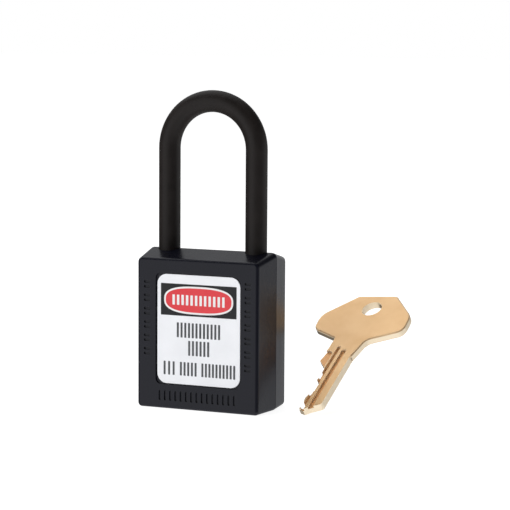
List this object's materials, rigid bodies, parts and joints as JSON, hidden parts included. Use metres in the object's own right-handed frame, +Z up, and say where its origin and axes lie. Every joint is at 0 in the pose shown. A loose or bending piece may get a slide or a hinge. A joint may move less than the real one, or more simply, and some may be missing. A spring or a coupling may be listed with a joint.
{
  "type": "safety lockout padlock",
  "caption": "Black plastic safety padlock with a long non-conductive shackle, a keyed pin cylinder in its base, a printed label on each face, and its loose brass key.",
  "frame": {"origin": "middle of the lock's flat base, in the seam plane between its two shells", "axes": "+X to the right of the front label, the front label faces -Y, +Z up along the shackle's legs"},
  "size_m": [0.0676, 0.049, 0.0874],
  "materials": {
    "shell": "satin moulded thermoplastic, black",
    "shackle": "matte glass-filled nylon, black",
    "label": "satin printed film",
    "zinc": "die-cast zinc, satin",
    "brass": "turned brass",
    "steel": "stamped steel",
    "spring": "bright spring wire",
    "key": "milled brass, pale"
  },
  "bodies": {
    "lock_body": {"front_shell": "shell", "rear_shell": "shell", "front_label": "label", "rear_label": "label", "heel_retainer": "steel", "shackle_spring": "spring", "cylinder_housing": "zinc", "pin_cover": "brass", "latch_spring": "spring", "driver_pin_1": "brass", "driver_pin_2": "brass", "driver_pin_3": "brass", "driver_pin_4": "brass", "driver_pin_5": "brass", "driver_pin_6": "brass", "pin_spring_1": "spring", "pin_spring_2": "spring", "pin_spring_3": "spring", "pin_spring_4": "spring", "pin_spring_5": "spring", "pin_spring_6": "spring"},
    "plug": {"plug": "brass", "plug_clip": "steel", "tailpiece": "steel", "tail_pin": "steel", "crank_cam": "zinc", "key_pin_1": "brass", "key_pin_2": "brass", "key_pin_3": "brass", "key_pin_4": "brass", "key_pin_5": "brass", "key_pin_6": "brass"},
    "latch": {"latch": "zinc"},
    "shackle": {"shackle": "shackle"},
    "key": {"key": "key"}
  },
  "joints": [
    {"name": "plug_turn", "type": "hinge", "parent": "lock_body", "child": "plug", "pos_m": [0, 0, 0.015], "axis": [0, 0, 1], "range_deg": [0, 90]},
    {"name": "latch_retract", "type": "slide", "parent": "lock_body", "child": "latch", "axis": [-1, 0, 0], "range_m": [0, 0.00801], "deforming": ["latch_spring"]},
    {"name": "shackle_lift", "type": "slide", "parent": "lock_body", "child": "shackle", "axis": [0, 0, 1], "range_m": [0, 0.01051], "deforming": ["shackle_spring"]},
    {"name": "key_lift", "type": "slide", "parent": "lock_body", "child": "key", "axis": [0, 0, 1], "range_m": [0, 0.06]}
  ],
  "couplings": [
    {"joint": "latch_retract", "follows": "plug_turn", "m_per_rad": 0.005093},
    {"joint": "shackle_lift", "follows": "plug_turn", "m_per_rad": 0.0066845}
  ]
}
